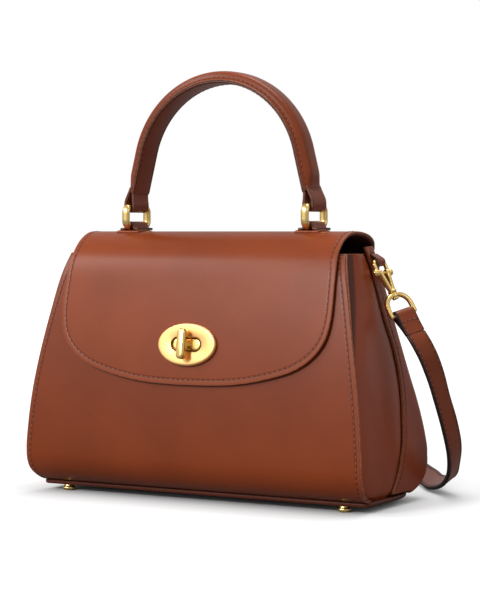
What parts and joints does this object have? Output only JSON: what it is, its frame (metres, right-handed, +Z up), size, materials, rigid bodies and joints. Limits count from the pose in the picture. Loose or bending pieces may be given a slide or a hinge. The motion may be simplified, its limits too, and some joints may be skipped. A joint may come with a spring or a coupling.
{
  "type": "leather handbag",
  "caption": "Tan leather top-handle handbag with a flared body, folding front flap, turn lock, arched handle on rings and a shoulder strap on swivelling side clasps.",
  "frame": {"origin": "middle of the box at the floor, under the feet, measured without the free shoulder strap", "axes": "+Z up, the front flap and the lock face -Y, +X to the viewer's right when facing the front"},
  "size_m": [0.3408, 0.2549, 0.3231],
  "materials": {
    "smooth_leather": "smooth tan calf leather, semi-gloss",
    "edge_leather": "dark brown leather, satin",
    "lining_suede": "matt suede lining",
    "stiffener": "fibre board and padding, matt",
    "pale_brass": "polished pale gold plating"
  },
  "bodies": {
    "bag_body": {"front_panel": "smooth_leather", "back_panel": "smooth_leather", "gusset_left": "smooth_leather", "gusset_right": "smooth_leather", "base_board": "stiffener", "base_panel": "edge_leather", "front_lining": "lining_suede", "back_lining": "lining_suede", "feet_studs": "pale_brass", "feet_washers": "pale_brass", "lock_base": "pale_brass", "lock_washer": "pale_brass", "side_tab_left": "smooth_leather", "side_tab_right": "smooth_leather", "shoulder_strap": "smooth_leather"},
    "knob": {"lock_knob": "pale_brass"},
    "flap_upper": {"flap_top": "smooth_leather", "flap_top_lining": "lining_suede", "handle_patch_left": "smooth_leather", "handle_patch_right": "smooth_leather", "handle_tab_left": "smooth_leather", "handle_tab_right": "smooth_leather"},
    "flap_lower": {"flap_front": "smooth_leather", "flap_front_lining": "lining_suede", "lock_plate": "pale_brass", "lock_eyelet": "pale_brass"},
    "ring_left": {"handle_ring_left": "pale_brass"},
    "ring_right": {"handle_ring_right": "pale_brass"},
    "handle": {"handle_lining": "edge_leather", "handle_cover": "smooth_leather", "handle_core": "stiffener", "handle_loop_left": "smooth_leather", "handle_loop_right": "smooth_leather"},
    "shackle_left": {"shackle_left": "pale_brass", "shackle_pin_left": "pale_brass"},
    "fork_left": {"clasp_fork_left": "pale_brass", "swivel_collar_left": "pale_brass"},
    "loop_left": {"swivel_loop_left": "pale_brass"},
    "end_left": {"strap_end_left": "smooth_leather"},
    "shackle_right": {"shackle_right": "pale_brass", "shackle_pin_right": "pale_brass"},
    "fork_right": {"clasp_fork_right": "pale_brass", "swivel_collar_right": "pale_brass"},
    "loop_right": {"swivel_loop_right": "pale_brass"},
    "end_right": {"strap_end_right": "smooth_leather"}
  },
  "joints": [
    {"name": "knob_turn", "type": "hinge", "parent": "bag_body", "child": "knob", "pos_m": [0, -0.05072, 0.1174], "axis": [0, -0.9873, 0.159], "range_deg": [0, 90]},
    {"name": "flap_lift", "type": "hinge", "parent": "bag_body", "child": "flap_upper", "pos_m": [0, 0.02733, 0.1892], "axis": [-1, 0, 0], "range_deg": [0, 110]},
    {"name": "flap_fold", "type": "hinge", "parent": "flap_upper", "child": "flap_lower", "pos_m": [0, -0.03217, 0.1916], "axis": [-1, 0, 0], "range_deg": [0, 80]},
    {"name": "handle_sway", "type": "hinge", "parent": "flap_upper", "child": "ring_left", "pos_m": [-0.0785, -0.00277, 0.2053], "axis": [0, 1, 0], "range_deg": [-30, 30]},
    {"name": "ring_right_sway", "type": "hinge", "parent": "flap_upper", "child": "ring_right", "pos_m": [0.0785, -0.00277, 0.2053], "axis": [0, 1, 0], "range_deg": [-30, 30]},
    {"name": "handle_level", "type": "hinge", "parent": "ring_left", "child": "handle", "pos_m": [-0.0785, -0.00277, 0.2213], "axis": [0, 1, 0], "range_deg": [-30, 30]},
    {"name": "shackle_swing_right", "type": "hinge", "parent": "bag_body", "child": "shackle_right", "pos_m": [0.1225, 0.01523, 0.1795], "axis": [0, -1, 0], "range_deg": [0, 80]},
    {"name": "clasp_swing_right", "type": "hinge", "parent": "shackle_right", "child": "fork_right", "pos_m": [0.1262, 0.01523, 0.17141], "axis": [0, -1, 0], "range_deg": [0, 75]},
    {"name": "loop_swivel_right", "type": "hinge", "parent": "fork_right", "child": "loop_right", "pos_m": [0.1354, 0.01523, 0.15501], "axis": [0.4894, 0, -0.8721], "continuous": true},
    {"name": "strap_hang_right", "type": "hinge", "parent": "loop_right", "child": "end_right", "pos_m": [0.14308, 0.01523, 0.14132], "axis": [-0.4201, -0.8763, -0.2358], "range_deg": [-30, 60], "deforming": ["shoulder_strap"]},
    {"name": "shackle_swing_left", "type": "hinge", "parent": "bag_body", "child": "shackle_left", "pos_m": [-0.1225, 0.01523, 0.1795], "axis": [0, 1, 0], "range_deg": [0, 80]},
    {"name": "clasp_swing_left", "type": "hinge", "parent": "shackle_left", "child": "fork_left", "pos_m": [-0.1262, 0.01523, 0.17141], "axis": [0, 1, 0], "range_deg": [0, 75]},
    {"name": "loop_swivel_left", "type": "hinge", "parent": "fork_left", "child": "loop_left", "pos_m": [-0.1354, 0.01523, 0.15501], "axis": [-0.4894, 0, -0.8721], "continuous": true},
    {"name": "strap_hang_left", "type": "hinge", "parent": "loop_left", "child": "end_left", "pos_m": [-0.14308, 0.01523, 0.14132], "axis": [-0.4201, 0.8763, 0.2358], "range_deg": [-30, 60], "deforming": ["shoulder_strap"]}
  ],
  "couplings": [
    {"joint": "ring_right_sway", "follows": "handle_sway", "ratio": 1},
    {"joint": "handle_level", "follows": "handle_sway", "ratio": -1}
  ]
}
